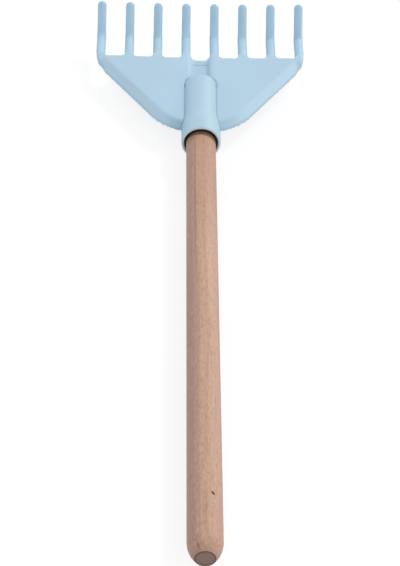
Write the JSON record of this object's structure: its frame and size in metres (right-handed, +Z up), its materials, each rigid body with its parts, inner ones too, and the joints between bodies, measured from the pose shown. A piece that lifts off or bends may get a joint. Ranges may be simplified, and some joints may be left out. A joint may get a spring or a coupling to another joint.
{
  "type": "sand rake",
  "caption": "Toy sand rake: a moulded plastic head with bent round tines on a turned wooden handle, held by one screw.",
  "frame": {"origin": "middle of the length and width, at the lowest point of the rake lying on its back", "axes": "+Y along the handle towards the head, +Z up, the way the bent tine ends point, +X to the right"},
  "size_m": [0.1642, 0.5724, 0.0374],
  "materials": {
    "blue_plastic": "satin injection-moulded plastic in pastel blue",
    "beech": "fine-sanded steamed beech with short dark flecks along the grain, thinly lacquered",
    "screw_steel": "zinc-plated steel, slightly dull"
  },
  "bodies": {
    "root": {"rake_head": "blue_plastic", "handle": "beech", "fixing_screw": "screw_steel"}
  },
  "joints": []
}
